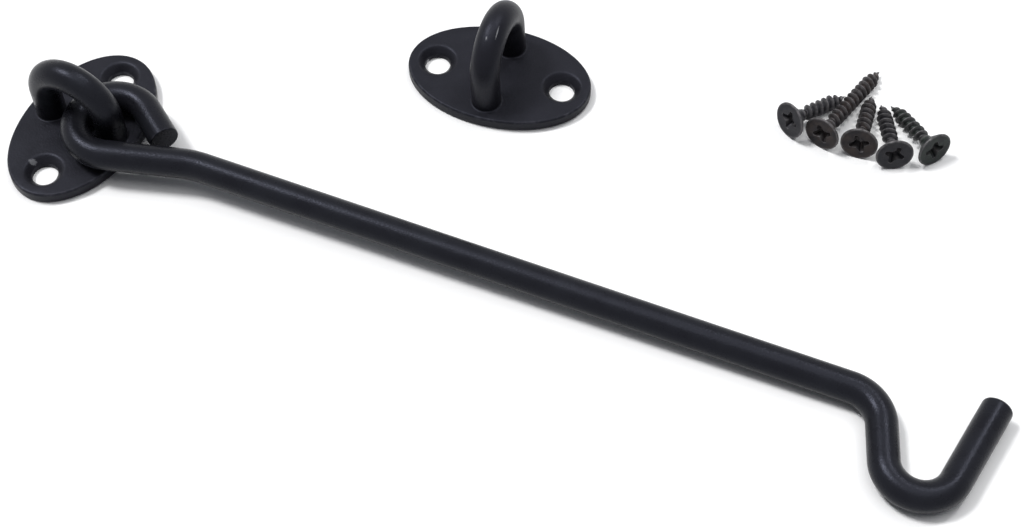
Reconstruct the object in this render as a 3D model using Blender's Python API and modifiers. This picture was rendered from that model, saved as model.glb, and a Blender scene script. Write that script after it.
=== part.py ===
"""Hook and eye latch: a hook of round wire linked to its pivot plate, a catch plate and five screws.

Metres, +Z up. The origin is the middle of the pivot plate's back face, and +X runs from its staple's left
leg to the right one, which the hook's eye goes round. Everything lies on the plane z = 0: both plates on
their backs, the hook with its far end down on the plane, and the screws on their sides in a fan.
Each wire is drawn as a flat path of feeds and bends.
"""

import math

import bmesh
import bpy
from mathutils import Matrix, Vector

MM = 0.001

# Wire of the hook and of both staples
WIRE_DIAMETER = 6.2 * MM
WIRE_SIDES_RESOLUTION = 10
BEND_STEP = math.radians(9.0)

# Clearance kept between pieces that touch on the real latch
SEAT_GAP = 0.3 * MM

# Oval plates
PLATE_LENGTH = 39.6 * MM
PLATE_WIDTH = 25.3 * MM
PLATE_THICKNESS = 2.6 * MM
PLATE_EDGE_ROUND = 0.5 * MM
PLATE_OUTLINE_POINTS = 72
SCREW_HOLE_SPACING = 27.4 * MM
SCREW_HOLE_DIAMETER = 5.4 * MM
COUNTERSINK_DIAMETER = 8.0 * MM
COUNTERSINK_DEPTH = 1.3 * MM
ROUND_SEGMENTS = 32

# Staples, riveted through the plates
LEG_SPACING = 15.4 * MM
STAPLE_HEIGHT = 20.4 * MM
RIVET_DIAMETER = 8.0 * MM
RIVET_DEPTH = 0.9 * MM

# Hook: an open eye, a straight rod and a U-shaped end, all in one plane
EYE_RADIUS = 7.6 * MM
EYE_OFFSET_X = 0.5 * MM
EYE_OFFSET_Y = 0.4 * MM
EYE_TAIL_LENGTH = 8.6 * MM
EYE_TAIL_HEADING = math.radians(142.0)
NECK_ANGLE = math.radians(14.5)
NECK_BEND_RADIUS = 20.0 * MM
ROD_OFFSET = 2.8 * MM
HOOK_REACH = 174.2 * MM
HOOK_DROP = 10.5 * MM
HOOK_RADIUS = 6.95 * MM
LIMB_ANGLE = math.radians(72.0)
LIMB_BEND_RADIUS = 8.0 * MM
ARM_HEADING = math.radians(78.5)
ARM_LENGTH = 18.6 * MM
TIP_ROUND = 0.8 * MM
TIP_ROUND_STEPS = 3

# Wood screws: countersunk head with a cross recess, plain envelope of the thread, sharp point
HEAD_DIAMETER = 7.75 * MM
HEAD_RIM = 0.4 * MM
HEAD_CONE = 2.4 * MM
THREAD_DIAMETER = 3.3 * MM
POINT_LENGTH = 4.0 * MM
POINT_DIAMETER = 0.3 * MM
SCREW_LENGTH = 16.0 * MM
LONG_SCREW_LENGTH = 24.0 * MM
RECESS_SPAN = 4.4 * MM
RECESS_SLOT = 1.0 * MM
RECESS_DEPTH = 1.7 * MM
RECESS_TAPER = 0.45

# How far the hook lies turned from the pivot plate's width
HOOK_TURN = math.radians(6.3)

# Where the loose pieces lie beside the pivot plate: the fan has its first screw's place and direction,
# and the steps from each screw to the next
CATCH_PLACE = (70.6 * MM, 52.0 * MM)
CATCH_TURN = math.radians(-78.0)
CATCH_STAPLE_TURN = math.radians(-4.0)
CATCH_STAPLE_LEAN = math.radians(2.2)
FAN_START = (130.1 * MM, 68.0 * MM, math.radians(61.2))
FAN_STEPS = (
    (7.3 * MM, -0.2 * MM, math.radians(18.9)),
    (7.8 * MM, 1.2 * MM, math.radians(19.9)),
    (7.6 * MM, 0.7 * MM, math.radians(20.2)),
    (6.8 * MM, 5.1 * MM, math.radians(24.7)),
)
LONG_SCREW = 1

# Black paint and black oxide, as colour, roughness and metallic
PLATE_LOOK = ((0.016, 0.016, 0.019, 1.0), 0.42, 0.0)
WIRE_LOOK = ((0.014, 0.014, 0.016, 1.0), 0.34, 0.0)
SCREW_LOOK = ((0.045, 0.040, 0.040, 1.0), 0.45, 0.9)


class WirePath:
    """Middle line of a wire bent flat, drawn as a bending machine feeds and turns it."""

    def __init__(self, heading=0.0):
        self.position = Vector((0.0, 0.0, 0.0))
        self.heading = heading
        self.points = [self.position.copy()]
        self.scales = [1.0]

    def feed(self, length, scale=1.0):
        """Straight stretch; scale is the wire's thickness at its end, as a share of the whole."""
        step = Vector((math.cos(self.heading), math.sin(self.heading), 0.0)) * length
        self.position = self.position + step
        self.points.append(self.position.copy())
        self.scales.append(scale)
        return self

    def bend(self, radius, angle):
        """Arc of the middle line: a positive angle turns left."""
        count = max(2, math.ceil(abs(angle) / BEND_STEP))
        side = math.copysign(1.0, angle)
        normal = Vector((-math.sin(self.heading), math.cos(self.heading), 0.0)) * side
        centre = self.position + normal * radius
        for k in range(1, count + 1):
            turned = Matrix.Rotation(angle * k / count, 3, "Z") @ (-normal * radius)
            self.points.append(centre + turned)
            self.scales.append(1.0)
        self.position = self.points[-1].copy()
        self.heading += angle
        return self

    def round_off(self, depth):
        """Closes the wire with a rounded edge that takes depth off its radius."""
        radius = WIRE_DIAMETER / 2
        done = 0.0
        for k in range(1, TIP_ROUND_STEPS + 1):
            angle = math.pi / 2 * k / TIP_ROUND_STEPS
            along = depth * math.sin(angle)
            self.feed(along - done, 1.0 - depth * (1.0 - math.cos(angle)) / radius)
            done = along
        return self

    def moved_to(self, index, place):
        """Shifts the whole path so that its point of that index lies at place."""
        shift = place - self.points[index]
        self.points = [point + shift for point in self.points]
        return self


def clear_scene():
    for obj in list(bpy.data.objects):
        bpy.data.objects.remove(obj, do_unlink=True)


def make_collection(name):
    collection = bpy.data.collections.new(name)
    bpy.context.scene.collection.children.link(collection)
    return collection


def make_material(name, look):
    colour, roughness, metallic = look
    material = bpy.data.materials.new(name)
    material.use_nodes = True
    shader = material.node_tree.nodes["Principled BSDF"]
    shader.inputs["Base Color"].default_value = colour
    shader.inputs["Roughness"].default_value = roughness
    shader.inputs["Metallic"].default_value = metallic
    material.diffuse_color = colour
    return material


def make_frame(name, collection, place=(0.0, 0.0), turn=0.0, lean=0.0, parent=None):
    """Empty that carries a plate, or a staple on its plate, which stands on a foot's edge where it leans."""
    frame = bpy.data.objects.new(name, None)
    frame.location = (place[0], place[1], RIVET_DIAMETER / 2 * math.sin(lean))
    frame.rotation_euler = (lean, 0.0, turn)
    frame.parent = parent
    collection.objects.link(frame)
    return frame


def make_wire(name, path, material, collection):
    """Round bar along a path, with flat ends."""
    curve = bpy.data.curves.new(name, "CURVE")
    curve.dimensions = "3D"
    curve.bevel_depth = WIRE_DIAMETER / 2
    curve.bevel_resolution = WIRE_SIDES_RESOLUTION
    curve.use_fill_caps = True
    spline = curve.splines.new("POLY")
    spline.points.add(len(path.points) - 1)
    for point, place, scale in zip(spline.points, path.points, path.scales):
        point.co = (place.x, place.y, place.z, 1.0)
        point.radius = scale
    curve.materials.append(material)
    wire = bpy.data.objects.new(name, curve)
    collection.objects.link(wire)
    return wire


def turned_object(name, profile, collection, material=None):
    """Solid turned about Z from (radius, height) points listed from the top down."""
    mesh = bpy.data.meshes.new(name)
    vertices = [(radius, 0.0, height) for radius, height in profile]
    mesh.from_pydata(vertices, [(i, i + 1) for i in range(len(vertices) - 1)], [])
    if material is not None:
        mesh.materials.append(material)
    solid = bpy.data.objects.new(name, mesh)
    collection.objects.link(solid)
    screw = solid.modifiers.new("turn", "SCREW")
    screw.axis = "Z"
    screw.steps = screw.render_steps = ROUND_SEGMENTS
    screw.use_merge_vertices = True
    screw.merge_threshold = 0.00001
    return solid


def hide_cutter(cutter):
    cutter.hide_render = True
    cutter.display_type = "WIRE"


def cut(target, cutter):
    boolean = target.modifiers.new("cut_" + cutter.name, "BOOLEAN")
    boolean.operation = "DIFFERENCE"
    boolean.object = cutter


def shade_round(obj, angle=math.radians(35.0)):
    obj.data.shade_smooth()
    obj.data.set_sharp_from_angle(angle=angle)


def oval_blank(name, material, collection):
    """Plate without its holes: a filled oval outline, thickened, lying on z = 0."""
    curve = bpy.data.curves.new(name, "CURVE")
    curve.dimensions = "2D"
    curve.fill_mode = "BOTH"
    curve.extrude = PLATE_THICKNESS / 2
    spline = curve.splines.new("POLY")
    spline.points.add(PLATE_OUTLINE_POINTS - 1)
    for k, point in enumerate(spline.points):
        angle = math.tau * k / PLATE_OUTLINE_POINTS
        x, y = PLATE_WIDTH / 2 * math.cos(angle), PLATE_LENGTH / 2 * math.sin(angle)
        point.co = (x, y, 0.0, 1.0)
    spline.use_cyclic_u = True
    outline = bpy.data.objects.new(name + "_outline", curve)
    collection.objects.link(outline)
    evaluated = outline.evaluated_get(bpy.context.evaluated_depsgraph_get())
    mesh = bpy.data.meshes.new_from_object(evaluated)
    bpy.data.objects.remove(outline)

    work = bmesh.new()
    work.from_mesh(mesh)
    bmesh.ops.remove_doubles(work, verts=work.verts, dist=0.00001)
    bmesh.ops.translate(work, verts=work.verts, vec=(0.0, 0.0, PLATE_THICKNESS / 2))
    bmesh.ops.recalc_face_normals(work, faces=work.faces)
    work.to_mesh(mesh)
    work.free()
    mesh.name = name
    mesh.materials.clear()
    mesh.materials.append(material)

    plate = bpy.data.objects.new(name, mesh)
    collection.objects.link(plate)
    bevel = plate.modifiers.new("edge", "BEVEL")
    bevel.width = PLATE_EDGE_ROUND
    bevel.segments = 2
    bevel.limit_method = "ANGLE"
    bevel.angle_limit = math.radians(60.0)
    return plate


def screw_hole_cutter(name, collection):
    """Through hole with a countersink that opens at the plate's front."""
    over = PLATE_THICKNESS
    hole, sink = SCREW_HOLE_DIAMETER / 2, COUNTERSINK_DIAMETER / 2
    slope = (sink - hole) / COUNTERSINK_DEPTH
    top = PLATE_THICKNESS
    profile = [
        (0.0, top + over),
        (sink + slope * over, top + over),
        (hole, top - COUNTERSINK_DEPTH),
        (hole, -over),
        (0.0, -over),
    ]
    cutter = turned_object(name, profile, collection)
    hide_cutter(cutter)
    return cutter


def leg_hole_cutter(name, collection):
    """Bore for a staple's leg, flared at the plate's back for the rivet head."""
    over = PLATE_THICKNESS
    bore = WIRE_DIAMETER / 2 + SEAT_GAP
    flare = RIVET_DIAMETER / 2 + SEAT_GAP
    slope = (flare - bore) / RIVET_DEPTH
    profile = [
        (0.0, PLATE_THICKNESS + over),
        (bore, PLATE_THICKNESS + over),
        (bore, RIVET_DEPTH + SEAT_GAP),
        (flare + slope * over, -over + SEAT_GAP),
        (0.0, -over + SEAT_GAP),
    ]
    cutter = turned_object(name, profile, collection)
    hide_cutter(cutter)
    return cutter


def make_plate(name, frame, staple_frame, material, parts, cutters):
    """Oval plate with two countersunk screw holes on its length and a bore for each staple leg."""
    plate = oval_blank(name, material, parts)
    plate.parent = frame
    for side, label in ((-1, "a"), (1, "b")):
        hole = screw_hole_cutter(f"{name}_screw_hole_{label}", cutters)
        hole.parent = frame
        hole.location = (0.0, side * SCREW_HOLE_SPACING / 2, 0.0)
        cut(plate, hole)
        bore = leg_hole_cutter(f"{name}_leg_hole_{label}", cutters)
        bore.parent = staple_frame
        bore.location = (side * LEG_SPACING / 2, 0.0, 0.0)
        cut(plate, bore)
    return plate


def make_staple(name, frame, material, collection):
    """Arch of wire that stands on the plate, its feet spread into rivet heads at the back."""
    spread = RIVET_DIAMETER / WIRE_DIAMETER
    arch = LEG_SPACING / 2
    straight = STAPLE_HEIGHT - WIRE_DIAMETER / 2 - arch - RIVET_DEPTH
    path = WirePath(heading=math.pi / 2)
    path.scales[0] = spread
    path.feed(RIVET_DEPTH).feed(straight)
    path.bend(arch, -math.pi)
    path.feed(straight).feed(RIVET_DEPTH, spread)
    path.moved_to(0, Vector((-arch, 0.0, 0.0)))
    staple = make_wire(name, path, material, collection)
    staple.rotation_euler = (math.pi / 2, 0.0, 0.0)
    staple.parent = frame
    return staple


def hook_path():
    """Middle line of the hook in its own plane, from the eye's cut end to the arm's tip.

    The origin is the middle of the staple leg that the eye goes round. The rod runs along +X.
    """
    eye_centre = Vector((EYE_OFFSET_X, EYE_OFFSET_Y, 0.0))
    neck_tangent = NECK_BEND_RADIUS * math.tan(NECK_ANGLE / 2)
    limb_tangent = LIMB_BEND_RADIUS * math.tan(LIMB_ANGLE / 2)

    neck_rise = EYE_RADIUS * math.cos(NECK_ANGLE) - ROD_OFFSET
    neck_length = neck_rise / math.sin(NECK_ANGLE)
    neck_end_x = EYE_RADIUS * math.sin(NECK_ANGLE) + neck_length * math.cos(NECK_ANGLE)

    limb_length = (HOOK_DROP + HOOK_RADIUS * math.cos(LIMB_ANGLE)) / math.sin(LIMB_ANGLE)
    limb_start_x = HOOK_REACH - HOOK_RADIUS * math.sin(LIMB_ANGLE) - limb_length * math.cos(LIMB_ANGLE)

    path = WirePath(heading=EYE_TAIL_HEADING)
    path.feed(EYE_TAIL_LENGTH)
    tail_end = len(path.points) - 1
    path.bend(EYE_RADIUS, math.tau + NECK_ANGLE - EYE_TAIL_HEADING)
    path.feed(neck_length - neck_tangent)
    path.bend(NECK_BEND_RADIUS, -NECK_ANGLE)
    path.feed(limb_start_x - neck_end_x - neck_tangent - limb_tangent)
    path.bend(LIMB_BEND_RADIUS, -LIMB_ANGLE)
    path.feed(limb_length - limb_tangent)
    path.bend(HOOK_RADIUS, LIMB_ANGLE + ARM_HEADING)
    path.feed(ARM_LENGTH - TIP_ROUND)
    path.round_off(TIP_ROUND)

    ring_start = Vector((math.sin(EYE_TAIL_HEADING), -math.cos(EYE_TAIL_HEADING), 0.0)) * EYE_RADIUS
    return path.moved_to(tail_end, eye_centre + ring_start)


def make_hook(frame, material, collection):
    """Hook with its eye round the staple's right leg, sloping down from just above the plate to the plane.

    The gap over the plate is set at half the plate's length, so that the rod also clears the plate's long
    end as it swings over it.
    """
    path = hook_path()
    leg_x = LEG_SPACING / 2
    edge_x = PLATE_LENGTH / 2
    seat_z = PLATE_THICKNESS + SEAT_GAP + WIRE_DIAMETER / 2
    far_x = leg_x + max(point.x for point in path.points) + WIRE_DIAMETER / 2
    slope = math.atan2(seat_z - WIRE_DIAMETER / 2, far_x - edge_x)
    hook = make_wire("hook_rod", path, material, collection)
    hook.location = (leg_x, 0.0, seat_z + math.tan(slope) * (edge_x - leg_x))
    hook.rotation_euler = (0.0, slope, HOOK_TURN)
    hook.parent = frame
    return hook


def screw_profile(length):
    """(radius, height) points of a screw whose head face is at height 0 and whose point is below."""
    head, thread = HEAD_DIAMETER / 2, THREAD_DIAMETER / 2
    return [
        (0.0, 0.0),
        (head, 0.0),
        (head, -HEAD_RIM),
        (thread, -HEAD_RIM - HEAD_CONE),
        (thread, -length + POINT_LENGTH),
        (POINT_DIAMETER / 2, -length),
        (0.0, -length),
    ]


def recess_cutter(name, collection):
    """Cross recess that narrows as it goes down, as a cross outline drawn out and tapered."""
    over = 0.5 * MM
    half, slot = RECESS_SPAN / 2, RECESS_SLOT / 2
    arm = [(slot, slot), (half, slot), (half, -slot)]
    outline = [Matrix.Rotation(-math.pi / 2 * k, 2) @ Vector(point) for k in range(4) for point in arm]

    work = bmesh.new()
    top_scale = 1.0 + (1.0 - RECESS_TAPER) * over / RECESS_DEPTH
    top = work.faces.new([work.verts.new((*(point * top_scale), over)) for point in outline])
    drawn = bmesh.ops.extrude_face_region(work, geom=[top])
    bottom = [item for item in drawn["geom"] if isinstance(item, bmesh.types.BMVert)]
    shrink = RECESS_TAPER / top_scale
    bmesh.ops.scale(work, verts=bottom, vec=(shrink, shrink, 1.0))
    bmesh.ops.translate(work, verts=bottom, vec=(0.0, 0.0, -RECESS_DEPTH - over))
    bmesh.ops.recalc_face_normals(work, faces=work.faces)
    mesh = bpy.data.meshes.new(name)
    work.to_mesh(mesh)
    work.free()
    cutter = bpy.data.objects.new(name, mesh)
    collection.objects.link(cutter)
    hide_cutter(cutter)
    return cutter


def make_screw(name, place, turn, length, material, parts, cutters):
    """Screw lying on the rim of its head and on its thread, with its point away along turn."""
    rim, thread = HEAD_DIAMETER / 2, THREAD_DIAMETER / 2
    dip = math.atan2(rim - thread, length - POINT_LENGTH)
    screw = turned_object(name, screw_profile(length), parts, material)
    screw.location = (place[0], place[1], rim * math.cos(dip))
    screw.rotation_euler = (0.0, dip - math.pi / 2, turn)
    recess = recess_cutter(name + "_recess", cutters)
    recess.parent = screw
    cut(screw, recess)
    return screw


def build():
    clear_scene()
    parts = make_collection("hook_and_eye_latch")
    cutters = make_collection("cutters")
    plate_paint = make_material("plate_black_paint", PLATE_LOOK)
    wire_paint = make_material("wire_black_paint", WIRE_LOOK)
    screw_oxide = make_material("screw_black_oxide", SCREW_LOOK)

    pivot = make_frame("pivot_frame", parts)
    make_plate("pivot_plate", pivot, pivot, plate_paint, parts, cutters)
    make_staple("pivot_staple", pivot, wire_paint, parts)
    make_hook(pivot, wire_paint, parts)

    catch = make_frame("catch_frame", parts, CATCH_PLACE, CATCH_TURN)
    catch_legs = make_frame(
        "catch_staple_frame", parts, turn=CATCH_STAPLE_TURN, lean=CATCH_STAPLE_LEAN, parent=catch
    )
    make_plate("catch_plate", catch, catch_legs, plate_paint, parts, cutters)
    make_staple("catch_staple", catch_legs, wire_paint, parts)

    x, y, turn = FAN_START
    for k, (step_x, step_y, step_turn) in enumerate(((0.0, 0.0, 0.0), *FAN_STEPS)):
        x, y, turn = x + step_x, y + step_y, turn + step_turn
        length = LONG_SCREW_LENGTH if k == LONG_SCREW else SCREW_LENGTH
        make_screw(f"screw_{k + 1}", (x, y), turn, length, screw_oxide, parts, cutters)

    bpy.context.view_layer.update()
    for obj in parts.objects:
        if obj.type == "MESH":
            shade_round(obj)


build()
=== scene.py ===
"""Looks of the hook and eye latch: bent wires, oval plates and wood screws, on a pale floor.

Metres, +Z up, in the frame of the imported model.
"""

import math

import bmesh
import bpy
from mathutils import Matrix, Vector


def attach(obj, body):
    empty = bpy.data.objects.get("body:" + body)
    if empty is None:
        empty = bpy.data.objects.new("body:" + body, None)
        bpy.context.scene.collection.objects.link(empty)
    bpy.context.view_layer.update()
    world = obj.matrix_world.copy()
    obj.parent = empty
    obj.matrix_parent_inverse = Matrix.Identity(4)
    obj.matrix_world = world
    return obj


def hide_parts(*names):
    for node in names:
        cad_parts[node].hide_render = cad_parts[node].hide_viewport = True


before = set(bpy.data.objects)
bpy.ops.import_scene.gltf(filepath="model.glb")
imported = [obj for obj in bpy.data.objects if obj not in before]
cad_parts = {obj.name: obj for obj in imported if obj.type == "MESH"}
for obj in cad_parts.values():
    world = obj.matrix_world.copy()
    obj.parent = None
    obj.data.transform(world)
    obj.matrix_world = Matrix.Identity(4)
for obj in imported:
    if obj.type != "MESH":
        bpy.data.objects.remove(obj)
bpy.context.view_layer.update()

MM = 0.001

# Wire of the hook and of both staples
WIRE_DIAMETER = 6.2 * MM
WIRE_SIDES = 56
BEND_STEP = math.radians(3.0)
SAW_CUT_ROUND = 0.3 * MM
TIP_ROUND = 0.8 * MM
FIRST_END_STEPS = 5
LAST_END_STEPS = 6

# Oval plates
PLATE_LENGTH = 39.6 * MM
PLATE_WIDTH = 25.3 * MM
PLATE_THICKNESS = 2.6 * MM
PLATE_EDGE_ROUND = 0.5 * MM
PLATE_OUTLINE_POINTS = 180
SCREW_HOLE_SPACING = 27.4 * MM
SCREW_HOLE_DIAMETER = 5.4 * MM
COUNTERSINK_DIAMETER = 8.0 * MM
COUNTERSINK_DEPTH = 1.3 * MM
HOLE_SEGMENTS = 72
HOLE_BREAK_OUT = 0.12 * MM
HOLE_BREAK_UP = 0.05 * MM
HOLE_BREAK_DOWN = 0.12 * MM
PLATE_EDGE_STEPS = 5

# Dish that the punch leaves round a countersink, and how the paint rounds its edge: shares of the dish's
# width outwards from the countersink, and of its depth
DISH_WIDTH = 0.6 * MM
DISH_DEPTH = 0.07 * MM
DISH_PROFILE = ((1.0, 0.0), (0.6, 0.25), (0.2, 1.0), (-0.1, 2.2), (-0.4, 4.0), (-0.7, 6.2))

# How the plate and the paint meet the staple's legs
SEAT_GAP = 0.3 * MM
PAINTED_GAP = 0.04 * MM
PAINT_FILLET = 0.4 * MM
PAINT_LAP = 0.05 * MM
FILLET_STEPS = 6

# Staples
LEG_SPACING = 15.4 * MM
STAPLE_HEIGHT = 20.4 * MM
RIVET_DIAMETER = 8.0 * MM
RIVET_DEPTH = 0.9 * MM
RIVET_ROUND = 0.1 * MM

# Hook
EYE_RADIUS = 7.6 * MM
EYE_OFFSET = Vector((0.5, 0.4, 0.0)) * MM
EYE_TAIL_LENGTH = 8.6 * MM
EYE_TAIL_HEADING = math.radians(142.0)
NECK_ANGLE = math.radians(14.5)
NECK_BEND_RADIUS = 20.0 * MM
ROD_OFFSET = 2.8 * MM
HOOK_REACH = 174.2 * MM
HOOK_DROP = 10.5 * MM
HOOK_RADIUS = 6.95 * MM
LIMB_ANGLE = math.radians(72.0)
LIMB_BEND_RADIUS = 8.0 * MM
ARM_HEADING = math.radians(78.5)
ARM_LENGTH = 18.6 * MM
HOOK_TURN = math.radians(6.3)

# Wood screws
HEAD_DIAMETER = 7.75 * MM
HEAD_RIM = 0.4 * MM
HEAD_CONE = 2.4 * MM
HEAD_BORDER = 0.45 * MM
HEAD_SEGMENTS = 64
SHANK_DIAMETER = 2.7 * MM
UNDERHEAD_OUT = 0.25 * MM
UNDERHEAD_RISE = 0.2 * MM
RUNOUT_ABOVE = 0.3 * MM
RUNOUT_BELOW = 0.4 * MM
CORE_SINK = 0.05 * MM
THREAD_DIAMETER = 3.3 * MM
CORE_DIAMETER = 1.9 * MM
THREAD_PITCH = 1.55 * MM
THREAD_STEPS = 36
THREAD_START = 2.9 * MM
WELD_DISTANCE = 0.002 * MM
POINT_LENGTH = 4.0 * MM
BARE_POINT_LENGTH = 1.2 * MM
SCREW_LENGTH = 16.0 * MM
LONG_SCREW_LENGTH = 24.0 * MM
RECESS_SPAN = 4.4 * MM
RECESS_SLOT = 1.0 * MM
RECESS_DEPTH = 1.7 * MM
RECESS_TAPER = 0.45
RECESS_BORDER = 1.03

# Section of a screw head's rim: in from its largest radius, and down from its face
RIM_SECTION = (
    (HEAD_BORDER, 0.0),
    (0.15 * MM, 0.0),
    (0.04 * MM, 0.04 * MM),
    (0.0, 0.13 * MM),
    (0.0, HEAD_RIM - 0.05 * MM),
    (0.08 * MM, HEAD_RIM + 0.05 * MM),
)

# Outline of one arm of the cross recess: shares of half the span outwards, and of half the slot sideways,
# and how far the corners between the arms lie from the axis both ways, as a share of half the slot
RECESS_ARM = ((0.92, 0.9), (1.0, 0.6), (1.0, -0.6), (0.92, -0.9))
RECESS_CORNER = 1.7

# Wall of the recess: its size as a share of the mouth's, at shares of its depth
RECESS_WALL = ((0.96, 0.12), (0.72, 0.72), (RECESS_TAPER, 1.0))

# Section of the thread: shares of the pitch downwards, and of the ridge's height
RIDGE_SECTION = ((0.0, 0.0), (0.2, 0.0), (0.45, 1.0), (0.55, 1.0), (0.8, 0.0), (1.0, 0.0))

# Share of a pitch before the ridge rises, and exponents of the taper of the core and of the ridge: the
# smaller the exponent, the longer the form stays full
RIDGE_DELAY = 0.3
POINT_SHAPE = 0.85
RIDGE_END_SHAPE = 0.45

# Where the loose pieces lie
CATCH_PLACE = (70.6 * MM, 52.0 * MM)
CATCH_TURN = math.radians(-78.0)
CATCH_STAPLE_TURN = math.radians(-4.0)
CATCH_STAPLE_LEAN = math.radians(2.2)

# Fan of screws: where the first lies and points, and the steps from each to the next
FAN_START = (130.1 * MM, 68.0 * MM, math.radians(61.2))
FAN_STEPS = (
    (7.3 * MM, -0.2 * MM, math.radians(18.9)),
    (7.8 * MM, 1.2 * MM, math.radians(19.9)),
    (7.6 * MM, 0.7 * MM, math.radians(20.2)),
    (6.8 * MM, 5.1 * MM, math.radians(24.7)),
)
SCREW_ROLLS = tuple(math.radians(roll) for roll in (5.0, 32.0, 26.0, 68.0, 88.0))
LONG_SCREW = 1

# How sharply a surface turns outwards where its finish starts to wear and to take the painted edge
# highlight, and where both are full
WEAR_AND_HIGHLIGHT_START = math.radians(10.0)
WEAR_AND_HIGHLIGHT_FULL = math.radians(20.0)

# Turn of the surface from which an edge is shaded sharp
SHARP_EDGE = math.radians(38.0)

# Grain of the finishes, across
ENAMEL_CLOUD = 7.0 * MM
ENAMEL_SHEEN = 3.5 * MM
ENAMEL_PATCH = 1.6 * MM
ENAMEL_PEEL = 0.4 * MM
MARK_RAGGEDNESS = 0.25 * MM
OXIDE_CLOUD = 2.2 * MM
OXIDE_SHEEN = 1.2 * MM
OXIDE_PATCH = 0.8 * MM
OXIDE_GRAIN = 0.35 * MM

# Height of the finishes' grain, and their lighter colour on sharp edges: rubbed thin there, and a painted
# highlight too
ENAMEL_RELIEF = 0.025 * MM
OXIDE_RELIEF = 0.02 * MM
WORN_AND_LIT_EDGE_ENAMEL = "#3c3c42"
WORN_AND_LIT_EDGE_OXIDE = "#6a686a"

# Chips in the enamel, and painted glints of light on the catch staple: place, turn and reach of each
PIVOT_CHIPS = (
    ((-3.45 * MM, -12.8 * MM, 2.1 * MM), (0.0, 0.0, 0.3), (1.05 * MM, 0.7 * MM, 0.9 * MM)),
)
CATCH_CHIPS = (
    ((54.6 * MM, 49.5 * MM, 0.2 * MM), (0.0, 0.0, 0.4), (0.6 * MM, 0.5 * MM, 0.6 * MM)),
)
# The catch staple's two marks are painted highlights: a thin light line on the arch and a small glint on
# its front.
STAPLE_PAINTED_GLINTS = (
    ((71.8 * MM, 49.0 * MM, 19.6 * MM), (0.28, 0.0, 0.21), (0.14 * MM, 1.6 * MM, 0.4 * MM)),
    ((70.4 * MM, 47.0 * MM, 19.0 * MM), (0.0, 0.0, 0.2), (0.25 * MM, 0.5 * MM, 0.5 * MM)),
)

LAMPS = (
    ("overhead_tent", 1.0, math.radians(50.0), (0.0, 0.05, 1.0)),
    ("left_softbox", 2.1, math.radians(14.0), (-0.58, -0.06, 1.0)),
    ("back_lamp", 0.65, math.radians(9.0), (0.15, 0.6, 1.0)),
)
FLOOR_REACH = 6.0
FLOOR_PLACE = (0.1, 0.03, -0.02 * MM)
CAMERA_PLACE = (0.18867, -0.16716, 0.30802)
CAMERA_TILT = math.radians(33.3)
CAMERA_TURN = math.radians(27.7)
FOCAL_LENGTH = 65.04
SENSOR_WIDTH = 36.0
NEAR_CLIP = 0.01


# Mesh helpers


def verts_of(geometry):
    return [item for item in geometry if isinstance(item, bmesh.types.BMVert)]


def edges_of(geometry):
    return [item for item in geometry if isinstance(item, bmesh.types.BMEdge)]


def loop_through(verts):
    """Edges at the points of a loop, each once."""
    return list(dict.fromkeys(edge for vert in verts for edge in vert.link_edges))


def circle(work, radius, centre, segments):
    """Loop of edges round a point, square to Z."""
    matrix = Matrix.Translation(centre)
    made = bmesh.ops.create_circle(work, segments=segments, radius=radius, matrix=matrix)
    return loop_through(made["verts"])


def draw_on(work, loop, centre, scale, rise):
    """Draws a loop of edges on: the new loop is scaled about the axis through centre and moved along Z."""
    drawn = bmesh.ops.extrude_edge_only(work, edges=loop)["geom"]
    space = Matrix.Translation(-centre)
    bmesh.ops.scale(work, vec=(scale, scale, 1.0), space=space, verts=verts_of(drawn))
    bmesh.ops.translate(work, vec=(0.0, 0.0, rise), verts=verts_of(drawn))
    return edges_of(drawn)


def draw_profile(work, loop, centre, profile):
    """Draws a round loop on through (radius, height) points, of which the first is the loop's own."""
    for (radius, height), (next_radius, next_height) in zip(profile, profile[1:]):
        loop = draw_on(work, loop, centre, next_radius / radius, next_height - height)
    return loop


def soften(work, loop, width, segments):
    """Rounds the edges of a loop."""
    return bmesh.ops.bevel(
        work, geom=loop, offset=width, segments=segments, profile=0.5, affect="EDGES", material=-1
    )


def mark_edges(work):
    """Stores on each point how sharply the surface turns outwards there, for wear and the painted edge
    highlight.
    """
    layer = work.verts.layers.float.new("edge")
    for vert in work.verts:
        turn = max(edge.calc_face_angle_signed(0.0) for edge in vert.link_edges)
        vert[layer] = min(max((turn - WEAR_AND_HIGHLIGHT_START) / (WEAR_AND_HIGHLIGHT_FULL - WEAR_AND_HIGHLIGHT_START), 0.0), 1.0)


def finish_piece(node, body, work, place, material):
    """Turns a bmesh into the piece that stands for a node, with its place in its mesh."""
    bmesh.ops.transform(work, matrix=place, verts=work.verts)
    bmesh.ops.recalc_face_normals(work, faces=work.faces)
    mark_edges(work)
    mesh = bpy.data.meshes.new(node + "_finished")
    work.to_mesh(mesh)
    work.free()
    mesh.materials.append(material)
    mesh.shade_smooth()
    mesh.set_sharp_from_angle(angle=SHARP_EDGE)
    piece = bpy.data.objects.new(node + "_finished", mesh)
    bpy.context.scene.collection.objects.link(piece)
    piece.modifiers.new("even_shading", "WEIGHTED_NORMAL").keep_sharp = True
    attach(piece, body)
    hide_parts(node)
    return piece


# Materials


def linear(hex_colour):
    """sRGB hex to linear colour with alpha."""
    shares = [int(hex_colour[k : k + 2], 16) / 255 for k in (1, 3, 5)]
    return (*(c / 12.92 if c <= 0.04045 else ((c + 0.055) / 1.055) ** 2.4 for c in shares), 1.0)


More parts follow.
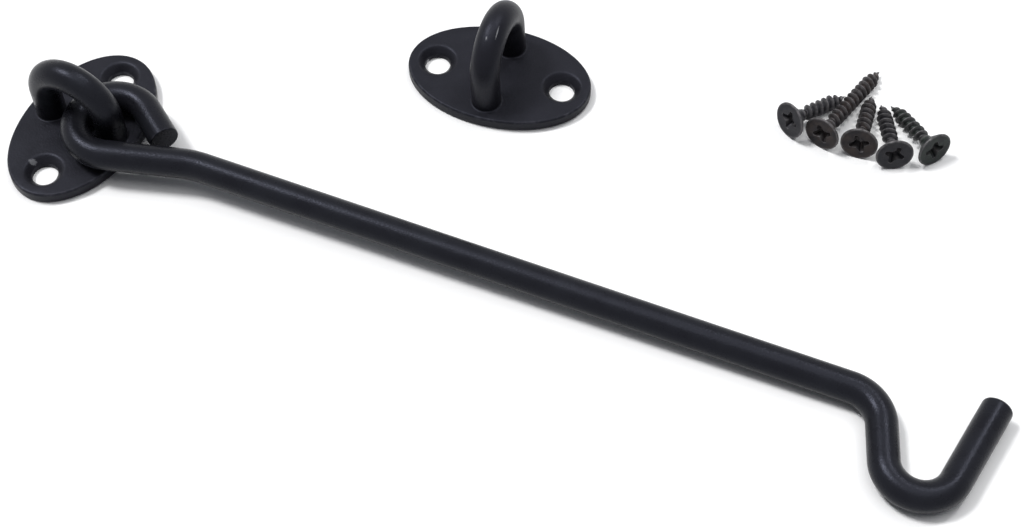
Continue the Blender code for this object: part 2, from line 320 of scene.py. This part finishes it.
def add_node(tree, kind, settings=None, links=None, output=0):
    """Adds a node and gives one of its outputs.

    Settings name its properties and sockets, and links give the outputs that feed its sockets.
    """
    node = tree.nodes.new(kind)
    for key, value in (settings or {}).items():
        if isinstance(key, int) or key in node.inputs:
            node.inputs[key].default_value = value
        else:
            setattr(node, key, value)
    for key, source in (links or {}).items():
        tree.links.new(source, node.inputs[key])
    return node.outputs[output]


def start_material(name):
    material = bpy.data.materials.new(name)
    material.use_nodes = True
    tree = material.node_tree
    return material, tree, tree.nodes["Principled BSDF"]


def grain(tree, place, size, low=0.0, high=1.0, detail=3.0):
    """Noise with grains about size across, spread out between two values."""
    settings = {"Scale": 1.0 / size, "Detail": detail, "Roughness": 0.55}
    field = add_node(tree, "ShaderNodeTexNoise", settings, {"Vector": place})
    spread = {"From Min": 0.3, "From Max": 0.7, "To Min": low, "To Max": high}
    return add_node(tree, "ShaderNodeMapRange", spread, {"Value": field})


def clouded(tree, place, size, dark, light):
    """Colour that drifts between two shades."""
    shades = {"data_type": "RGBA", 6: linear(dark), 7: linear(light)}
    return add_node(tree, "ShaderNodeMix", shades, {"Factor": grain(tree, place, size)}, 2)


def overlaid_colour(tree, colour, patch_colour, mask):
    """Colour with a second one laid over it where the mask is 1: steel in chips, a rubbed edge with its
    painted highlight, a painted glint.
    """
    patch_mix = {"data_type": "RGBA", 7: linear(patch_colour)}
    return add_node(tree, "ShaderNodeMix", patch_mix, {"Factor": mask, 6: colour}, 2)


def worn_and_lit_edges(tree, place, size, least, most):
    """Mask of the edges where a finish is rubbed thin and lit by a painted highlight, in patches about size
    across.
    """
    edge = add_node(tree, "ShaderNodeAttribute", {"attribute_name": "edge"}, output="Fac")
    patches = grain(tree, place, size, least, most)
    multiply = {"operation": "MULTIPLY", "use_clamp": True}
    return add_node(tree, "ShaderNodeMath", multiply, {0: edge, 1: patches})


def mark_mask(tree, place, mark):
    """Mask of one chip or painted glint: 1 within a stretched ball at a point, with a ragged border."""
    point, turn, size = mark
    settings = {"vector_type": "TEXTURE", "Location": point, "Rotation": turn, "Scale": size}
    ball = add_node(tree, "ShaderNodeMapping", settings, {"Vector": place})
    far = add_node(tree, "ShaderNodeVectorMath", {"operation": "LENGTH"}, {0: ball}, "Value")
    rag = grain(tree, place, MARK_RAGGEDNESS, -0.2, 0.2)
    ragged = add_node(tree, "ShaderNodeMath", {"operation": "ADD"}, {0: far, 1: rag})
    return add_node(tree, "ShaderNodeMapRange", {"From Min": 1.0, "From Max": 0.6}, {"Value": ragged})


def black_enamel(name, dark, light, gloss, marks=(), mark_colour="#7c7d80"):
    """Stoved black enamel on steel.

    A thin sprayed film: near black with a cool cast, half gloss, faintly clouded where it is thicker, with
    a fine orange peel. It is rubbed thin on sharp edges, where a lighter colour also paints a highlight,
    and chipped through to the steel at a few marks. The catch staple's marks are painted glints.
    """
    material, tree, shader = start_material(name)
    place = add_node(tree, "ShaderNodeTexCoord", output="Object")
    film = clouded(tree, place, ENAMEL_CLOUD, dark, light)
    # Sharp edges lighter: enamel rubbed thin, and a painted highlight.
    film = overlaid_colour(tree, film, WORN_AND_LIT_EDGE_ENAMEL, worn_and_lit_edges(tree, place, ENAMEL_PATCH, -0.6, 0.9))
    # The marks are chips through to the steel on the plates, and painted glints in a light grey on the
    # catch staple.
    for mark in marks:
        film = overlaid_colour(tree, film, mark_colour, mark_mask(tree, place, mark))

    sheen = grain(tree, place, ENAMEL_SHEEN, gloss - 0.04, gloss + 0.04)
    peel = grain(tree, place, ENAMEL_PEEL, detail=4.0)
    bump = {"Strength": 0.8, "Distance": ENAMEL_RELIEF}
    relief = add_node(tree, "ShaderNodeBump", bump, {"Height": peel})
    tree.links.new(film, shader.inputs["Base Color"])
    tree.links.new(sheen, shader.inputs["Roughness"])
    tree.links.new(relief, shader.inputs["Normal"])
    shader.inputs["IOR"].default_value = 1.5
    shader.inputs["Specular IOR Level"].default_value = 0.15
    shader.inputs["Specular Tint"].default_value = linear("#e0e5ff")
    return material


def black_oxide(name, layer, tint):
    """Black oxide on a cold-headed steel screw.

    A thin dark conversion layer with a dull metal sheen and a brown or green cast in places, uneven from
    the bath, and a little lighter on the head's rim and on the thread's crests, from rubbing and as a
    painted highlight.
    """
    material, tree, shader = start_material(name)
    place = add_node(tree, "ShaderNodeTexCoord", output="Object")
    coat = clouded(tree, place, OXIDE_CLOUD, layer, tint)
    # Rim and crests lighter: oxide rubbed, and a painted highlight.
    coat = overlaid_colour(tree, coat, WORN_AND_LIT_EDGE_OXIDE, worn_and_lit_edges(tree, place, OXIDE_PATCH, 0.15, 0.9))

    rough = grain(tree, place, OXIDE_SHEEN, 0.42, 0.56)
    pits = grain(tree, place, OXIDE_GRAIN, detail=2.0)
    bump = {"Strength": 0.35, "Distance": OXIDE_RELIEF}
    relief = add_node(tree, "ShaderNodeBump", bump, {"Height": pits})
    tree.links.new(coat, shader.inputs["Base Color"])
    tree.links.new(rough, shader.inputs["Roughness"])
    tree.links.new(relief, shader.inputs["Normal"])
    shader.inputs["Metallic"].default_value = 0.5
    shader.inputs["Specular IOR Level"].default_value = 0.2
    return material


# Bent wires


class BentWire:
    """Round bar drawn in the XY plane as a bending machine feeds and bends it."""

    def __init__(self, heading, scale=1.0):
        self.work = bmesh.new()
        self.position = Vector((0.0, 0.0, 0.0))
        self.heading = heading
        self.scale = scale
        square_on = Matrix.Rotation(heading, 4, "Z") @ Matrix.Rotation(math.pi / 2, 4, "Y")
        made = bmesh.ops.create_circle(
            self.work, segments=WIRE_SIDES, radius=WIRE_DIAMETER / 2 * scale, matrix=square_on
        )
        self.rim = made["verts"] + loop_through(made["verts"])
        self.first_loop = edges_of(self.rim)

    def feed(self, length, scale=1.0):
        """Straight stretch; scale is the wire's thickness at its end, as a share of the whole."""
        step = Vector((math.cos(self.heading), math.sin(self.heading), 0.0)) * length
        drawn = bmesh.ops.extrude_edge_only(self.work, edges=edges_of(self.rim))["geom"]
        self.rim = verts_of(drawn) + edges_of(drawn)
        self.position = self.position + step
        ratio = scale / self.scale
        bmesh.ops.translate(self.work, vec=step, verts=verts_of(drawn))
        bmesh.ops.scale(
            self.work,
            vec=(ratio, ratio, ratio),
            space=Matrix.Translation(-self.position),
            verts=verts_of(drawn),
        )
        self.scale = scale
        return self

    def bend(self, radius, angle):
        """Arc of the middle line: a positive angle turns left."""
        side = math.copysign(1.0, angle)
        normal = Vector((-math.sin(self.heading), math.cos(self.heading), 0.0)) * side
        centre = self.position + normal * radius
        steps = math.ceil(abs(angle) / BEND_STEP)
        drawn = bmesh.ops.spin(
            self.work,
            geom=self.rim,
            cent=centre,
            axis=(0.0, 0.0, 1.0),
            angle=angle,
            steps=steps,
            use_merge=False,
            use_duplicate=False,
        )
        self.rim = drawn["geom_last"]
        self.position = centre + Matrix.Rotation(angle, 3, "Z") @ (-normal * radius)
        self.heading += angle
        return self

    def cut_off(self, first_round, last_round):
        """Closes both ends with flat faces and rounds their edges."""
        last_loop = edges_of(self.rim)
        bmesh.ops.holes_fill(self.work, edges=self.first_loop + last_loop, sides=0)
        soften(self.work, self.first_loop, first_round, FIRST_END_STEPS)
        soften(self.work, last_loop, last_round, LAST_END_STEPS)
        return self.work


def hook_wire():
    """Hook in its own plane, the matrix that sets the staple's leg at 0, and how far it then reaches."""
    neck_tangent = NECK_BEND_RADIUS * math.tan(NECK_ANGLE / 2)
    limb_tangent = LIMB_BEND_RADIUS * math.tan(LIMB_ANGLE / 2)
    neck_rise = EYE_RADIUS * math.cos(NECK_ANGLE) - ROD_OFFSET
    neck_length = neck_rise / math.sin(NECK_ANGLE)
    neck_end_x = EYE_RADIUS * math.sin(NECK_ANGLE) + neck_length * math.cos(NECK_ANGLE)
    limb_length = (HOOK_DROP + HOOK_RADIUS * math.cos(LIMB_ANGLE)) / math.sin(LIMB_ANGLE)
    limb_start_x = HOOK_REACH - HOOK_RADIUS * math.sin(LIMB_ANGLE) - limb_length * math.cos(LIMB_ANGLE)

    wire = BentWire(EYE_TAIL_HEADING)
    wire.feed(EYE_TAIL_LENGTH)
    tail_end = wire.position.copy()
    wire.bend(EYE_RADIUS, math.tau + NECK_ANGLE - EYE_TAIL_HEADING)
    wire.feed(neck_length - neck_tangent)
    wire.bend(NECK_BEND_RADIUS, -NECK_ANGLE)
    wire.feed(limb_start_x - neck_end_x - neck_tangent - limb_tangent)
    wire.bend(LIMB_BEND_RADIUS, -LIMB_ANGLE)
    wire.feed(limb_length - limb_tangent)
    wire.bend(HOOK_RADIUS, LIMB_ANGLE + ARM_HEADING)
    wire.feed(ARM_LENGTH)

    ring_start = Vector((math.sin(EYE_TAIL_HEADING), -math.cos(EYE_TAIL_HEADING), 0.0)) * EYE_RADIUS
    shift = Matrix.Translation(EYE_OFFSET + ring_start - tail_end)
    far_x = max((shift @ vert.co).x for vert in wire.work.verts)
    return wire.cut_off(SAW_CUT_ROUND, TIP_ROUND), shift, far_x


def make_hook(material):
    """Hook with its eye round the staple's right leg, sloping down from above the plate to the plane."""
    work, shift, far_x = hook_wire()
    leg_x, edge_x = LEG_SPACING / 2, PLATE_LENGTH / 2
    seat_z = PLATE_THICKNESS + SEAT_GAP + WIRE_DIAMETER / 2
    slope = math.atan2(seat_z - WIRE_DIAMETER / 2, leg_x + far_x - edge_x)
    place = Matrix.Translation((leg_x, 0.0, seat_z + math.tan(slope) * (edge_x - leg_x)))
    place = place @ Matrix.Rotation(HOOK_TURN, 4, "Z") @ Matrix.Rotation(slope, 4, "Y") @ shift
    return finish_piece("hook_rod", "hook", work, place, material)


def make_staple(node, body, stand, material):
    """Arch of wire that stands on its plate, its feet spread into rivet heads at the back."""
    spread = RIVET_DIAMETER / WIRE_DIAMETER
    arch = LEG_SPACING / 2
    straight = STAPLE_HEIGHT - WIRE_DIAMETER / 2 - arch - RIVET_DEPTH
    wire = BentWire(math.pi / 2, spread)
    wire.feed(RIVET_DEPTH)
    wire.feed(straight)
    wire.bend(arch, -math.pi)
    wire.feed(straight)
    wire.feed(RIVET_DEPTH, spread)
    work = wire.cut_off(RIVET_ROUND, RIVET_ROUND)
    place = stand @ Matrix.Rotation(math.pi / 2, 4, "X") @ Matrix.Translation((-arch, 0.0, 0.0))
    return finish_piece(node, body, work, place, material)


# Plates


def make_plate(node, body, lie, stand, material):
    """Oval plate with rounded edges, two dished and countersunk holes, and a bore for each leg.
    """
    work = bmesh.new()
    top = Vector((0.0, 0.0, PLATE_THICKNESS))
    outline = circle(work, 1.0, top, PLATE_OUTLINE_POINTS)
    bmesh.ops.scale(work, vec=(PLATE_WIDTH / 2, PLATE_LENGTH / 2, 1.0), verts=work.verts)

    hole, sink = SCREW_HOLE_DIAMETER / 2, COUNTERSINK_DIAMETER / 2
    hole_profile = [(sink + DISH_WIDTH * out, -DISH_DEPTH * down) for out, down in DISH_PROFILE]
    hole_profile += [
        (hole + HOLE_BREAK_OUT, -COUNTERSINK_DEPTH + HOLE_BREAK_UP),
        (hole, -COUNTERSINK_DEPTH - HOLE_BREAK_DOWN),
        (hole, -PLATE_THICKNESS),
    ]
    leg, bore = WIRE_DIAMETER / 2, WIRE_DIAMETER / 2 + PAINTED_GAP
    bore_profile = []
    for step in range(FILLET_STEPS + 1):
        angle = math.pi / 2 * step / FILLET_STEPS
        out = PAINT_FILLET * (1.0 - math.sin(angle))
        bore_profile.append((leg - PAINT_LAP + out, PAINT_FILLET * (1.0 - math.cos(angle))))
    bore_profile += [
        (bore, -PAINT_FILLET),
        (bore, -PLATE_THICKNESS + RIVET_DEPTH + SEAT_GAP),
        (RIVET_DIAMETER / 2 + SEAT_GAP, -PLATE_THICKNESS),
    ]
    leg_line = (lie.inverted() @ stand).to_3x3() @ Vector((0.0, 0.0, 1.0))
    rounds = []
    for side in (-1, 1):
        rounds.append((Vector((0.0, side * SCREW_HOLE_SPACING / 2, PLATE_THICKNESS)), hole_profile))
        foot = lie.inverted() @ stand @ Vector((side * LEG_SPACING / 2, 0.0, 0.0))
        at_top = foot + leg_line * ((PLATE_THICKNESS - foot.z) / leg_line.z)
        rounds.append((at_top, bore_profile))

    mouths = [circle(work, profile[0][0], centre, HOLE_SEGMENTS) for centre, profile in rounds]
    top_edges = outline + [edge for mouth in mouths for edge in mouth]
    bmesh.ops.triangle_fill(work, use_beauty=True, edges=top_edges, normal=(0.0, 0.0, 1.0))
    back = draw_on(work, outline, top, 1.0, -PLATE_THICKNESS)
    back_edges = list(back)
    for mouth, (centre, profile) in zip(mouths, rounds):
        back_edges += draw_profile(work, mouth, centre, profile)
    bmesh.ops.triangle_fill(work, use_beauty=True, edges=back_edges, normal=(0.0, 0.0, -1.0))
    soften(work, outline + back, PLATE_EDGE_ROUND, PLATE_EDGE_STEPS)
    return finish_piece(node, body, work, lie, material)


# Screws


def add_head_and_shank(work):
    """Countersunk head with its cross recess, and the plain shank down to the thread."""
    head, shank, core = HEAD_DIAMETER / 2, SHANK_DIAMETER / 2, CORE_DIAMETER / 2
    axis = Vector((0.0, 0.0, 0.0))
    face = circle(work, head - HEAD_BORDER, axis, HEAD_SEGMENTS)

    half, slot = RECESS_SPAN / 2, RECESS_SLOT / 2
    arm = [(slot * RECESS_CORNER, slot * RECESS_CORNER)]
    arm += [(half * out, slot * side) for out, side in RECESS_ARM]
    cross = [Matrix.Rotation(-math.pi / 2 * k, 2) @ Vector(point) for k in range(4) for point in arm]
    corners = [work.verts.new((*point * RECESS_BORDER, 0.0)) for point in cross]
    border = [work.edges.new(pair) for pair in zip(corners, corners[1:] + corners[:1])]

    bmesh.ops.triangle_fill(work, use_beauty=True, edges=face + border, normal=(0.0, 0.0, 1.0))
    wall, size, depth = border, RECESS_BORDER, 0.0
    for next_size, next_depth in ((1.0, 0.0), *RECESS_WALL):
        wall = draw_on(work, wall, axis, next_size / size, (depth - next_depth) * RECESS_DEPTH)
        size, depth = next_size, next_depth
    bmesh.ops.holes_fill(work, edges=wall, sides=0)

    head_end, thread_top = -HEAD_RIM - HEAD_CONE, -THREAD_START - THREAD_PITCH / 2
    profile = [(head - inwards, -down) for inwards, down in RIM_SECTION]
    profile += [
        (shank + UNDERHEAD_OUT, head_end + UNDERHEAD_RISE),
        (shank, head_end - UNDERHEAD_RISE),
        (shank, thread_top + RUNOUT_ABOVE),
        (core - CORE_SINK, thread_top - RUNOUT_BELOW),
    ]
    end = draw_profile(work, face, axis, profile)
    bmesh.ops.holes_fill(work, edges=end, sides=0)


def add_thread(work, length):
    """Core and thread as one ridge turned down the axis, faded in at its start and tapered to the point."""
    core, crest = CORE_DIAMETER / 2, THREAD_DIAMETER / 2
    line = []
    for along, height in RIDGE_SECTION:
        radius = core + (crest - core) * height
        line.append(work.verts.new((radius, 0.0, -THREAD_START - along * THREAD_PITCH)))
    edges = [work.edges.new(pair) for pair in zip(line, line[1:])]
    turns = (length - THREAD_START) / THREAD_PITCH - 1.0
    steps = round(turns * THREAD_STEPS)
    before = set(work.verts) - set(line)
    bmesh.ops.spin(
        work,
        geom=line + edges,
        cent=(0.0, 0.0, 0.0),
        axis=(0.0, 0.0, 1.0),
        dvec=(0.0, 0.0, -THREAD_PITCH / THREAD_STEPS),
        angle=math.tau * steps / THREAD_STEPS,
        steps=steps,
        use_merge=False,
        use_duplicate=False,
    )
    swept = [vert for vert in work.verts if vert not in before]
    bmesh.ops.remove_doubles(work, verts=swept, dist=WELD_DISTANCE)
    for vert in work.verts:
        if vert in before:
            continue
        depth = -vert.co.z
        radius = math.hypot(vert.co.x, vert.co.y)
        start = min(max((depth - THREAD_START) / THREAD_PITCH - RIDGE_DELAY, 0.0), 1.0)
        left = max(length - depth, 0.0)
        point = min(left / POINT_LENGTH, 1.0) ** POINT_SHAPE
        ridge_left = max(left - BARE_POINT_LENGTH, 0.0) / (POINT_LENGTH - BARE_POINT_LENGTH)
        shaped = core * point + (radius - core) * start * min(ridge_left, 1.0) ** RIDGE_END_SHAPE
        vert.co.x *= shaped / radius
        vert.co.y *= shaped / radius
    bmesh.ops.remove_doubles(work, verts=work.verts, dist=WELD_DISTANCE)
    open_edges = [edge for edge in work.edges if edge.is_boundary]
    bmesh.ops.holes_fill(work, edges=open_edges, sides=0)


def make_screw(node, body, place, turn, roll, length, material):
    """Screw lying on the rim of its head and on its thread, with its point away along turn."""
    rim, thread = HEAD_DIAMETER / 2, THREAD_DIAMETER / 2
    dip = math.atan2(rim - thread, length - POINT_LENGTH)
    work = bmesh.new()
    add_head_and_shank(work)
    add_thread(work, length)
    lie = Matrix.Translation((*place, rim * math.cos(dip)))
    lie = lie @ Matrix.Rotation(turn, 4, "Z") @ Matrix.Rotation(dip - math.pi / 2, 4, "Y")
    lie = lie @ Matrix.Rotation(roll, 4, "Z")
    return finish_piece(node, body, work, lie, material)


# Studio


def shown_directly(tree):
    """1 for the rays that are to find white: those of the camera, of reflections and through glass."""
    shown = add_node(tree, "ShaderNodeLightPath", output="Is Camera Ray")
    for kind in ("Is Glossy Ray", "Is Transmission Ray"):
        rays = add_node(tree, "ShaderNodeLightPath", output=kind)
        shown = add_node(tree, "ShaderNodeMath", {"operation": "MAXIMUM"}, {0: shown, 1: rays})
    return shown


def make_floor():
    work = bmesh.new()
    bmesh.ops.create_grid(work, x_segments=1, y_segments=1, size=FLOOR_REACH)
    bmesh.ops.translate(work, vec=FLOOR_PLACE, verts=work.verts)
    mesh = bpy.data.meshes.new("floor")
    work.to_mesh(mesh)
    work.free()
    floor = bpy.data.objects.new("floor", mesh)
    bpy.context.scene.collection.objects.link(floor)

    material, tree, shader = start_material("white_paper_floor")
    tree.nodes.remove(shader)
    papers = {"data_type": "RGBA", 6: linear("#e6e6e6"), 7: linear("#ffffff")}
    paper = add_node(tree, "ShaderNodeMix", papers, {"Factor": shown_directly(tree)}, 2)
    matt = add_node(tree, "ShaderNodeBsdfDiffuse", links={"Color": paper})
    tree.links.new(matt, tree.nodes["Material Output"].inputs["Surface"])
    mesh.materials.append(material)


def make_lamp(name, energy, width, towards):
    light = bpy.data.lights.new(name, "SUN")
    light.energy = energy
    light.angle = width
    lamp = bpy.data.objects.new(name, light)
    lamp.rotation_euler = Vector(towards).to_track_quat("Z", "Y").to_euler()
    bpy.context.scene.collection.objects.link(lamp)


def make_light():
    """The lamps, and a studio that shows white and throws less light from its front than from its back."""
    for name, energy, width, towards in LAMPS:
        make_lamp(name, energy, width, towards)

    world = bpy.data.worlds.new("studio")
    world.use_nodes = True
    tree = world.node_tree
    tree.nodes.clear()
    way = add_node(tree, "ShaderNodeTexCoord", output="Generated")
    look = Matrix.Rotation(CAMERA_TURN, 3, "Z") @ Vector((0.0, 1.0, 0.0))
    depth = {"operation": "DOT_PRODUCT", 1: look}
    away = add_node(tree, "ShaderNodeVectorMath", depth, {0: way}, "Value")
    levels = {"From Min": -0.8, "From Max": 0.8, "To Min": 0.1, "To Max": 0.26}
    level = add_node(tree, "ShaderNodeMapRange", levels, {"Value": away})
    dim = add_node(tree, "ShaderNodeBackground", {"Color": linear("#f2f6ff")}, {"Strength": level})
    white = add_node(tree, "ShaderNodeBackground", {"Color": linear("#ffffff"), "Strength": 1.0})
    mixed = add_node(tree, "ShaderNodeMixShader", links={0: shown_directly(tree), 1: dim, 2: white})
    output = tree.nodes.new("ShaderNodeOutputWorld")
    tree.links.new(mixed, output.inputs["Surface"])
    bpy.context.scene.world = world


def make_camera():
    """Camera at the photograph's place: above the hook's end, looking down over the rod at the catch."""
    lens = bpy.data.cameras.new("camera")
    lens.lens = FOCAL_LENGTH
    lens.sensor_width = SENSOR_WIDTH
    lens.sensor_fit = "HORIZONTAL"
    lens.clip_start = NEAR_CLIP
    camera = bpy.data.objects.new("camera", lens)
    camera.location = CAMERA_PLACE
    camera.rotation_euler = (CAMERA_TILT, 0.0, CAMERA_TURN)
    bpy.context.scene.collection.objects.link(camera)
    bpy.context.scene.camera = camera


# The pivot plate's enamel is a shade lighter than the catch plate's: painted light, for the stronger light
# on the pivot plate.
pivot_enamel_painted_lighter = black_enamel("black_enamel_pivot_plate_painted_lighter", "#18181c", "#1f1f24", 0.38, PIVOT_CHIPS, "#6e6f73")
catch_enamel = black_enamel("black_enamel_catch_plate", "#141418", "#1b1b20", 0.42, CATCH_CHIPS, "#c4c5c8")
# The catch staple's marks take the light grey default mark colour as painted glints.
staple_enamel = black_enamel("black_enamel_catch_staple", "#141418", "#1a1a1f", 0.38, STAPLE_PAINTED_GLINTS)
wire_enamel = black_enamel("black_enamel_wire", "#121216", "#191a1e", 0.29)
grey_oxide = black_oxide("black_oxide_grey", "#1f1f24", "#303033")
brown_oxide = black_oxide("black_oxide_brown", "#201f23", "#38312f")
green_oxide = black_oxide("black_oxide_green", "#1e1e22", "#2c332f")

pivot_lie = Matrix.Identity(4)
make_plate("pivot_plate", "pivot", pivot_lie, pivot_lie, pivot_enamel_painted_lighter)
make_staple("pivot_staple", "pivot", pivot_lie, wire_enamel)
make_hook(wire_enamel)

catch_lie = Matrix.Translation((*CATCH_PLACE, 0.0)) @ Matrix.Rotation(CATCH_TURN, 4, "Z")
lifted = Matrix.Translation((0.0, 0.0, RIVET_DIAMETER / 2 * math.sin(CATCH_STAPLE_LEAN)))
catch_stand = catch_lie @ lifted @ Matrix.Rotation(CATCH_STAPLE_TURN, 4, "Z")
catch_stand = catch_stand @ Matrix.Rotation(CATCH_STAPLE_LEAN, 4, "X")
make_plate("catch_plate", "catch", catch_lie, catch_stand, catch_enamel)
make_staple("catch_staple", "catch", catch_stand, staple_enamel)

oxides = (grey_oxide, brown_oxide, brown_oxide, grey_oxide, green_oxide)
x, y, turn = FAN_START
for k, (step_x, step_y, step_turn) in enumerate(((0.0, 0.0, 0.0), *FAN_STEPS)):
    x, y, turn = x + step_x, y + step_y, turn + step_turn
    length = LONG_SCREW_LENGTH if k == LONG_SCREW else SCREW_LENGTH
    make_screw(f"screw_{k + 1}", f"fixing_{k + 1}", (x, y), turn, SCREW_ROLLS[k], length, oxides[k])

make_floor()
make_light()
make_camera()
bpy.context.scene.view_settings.view_transform = "Standard"
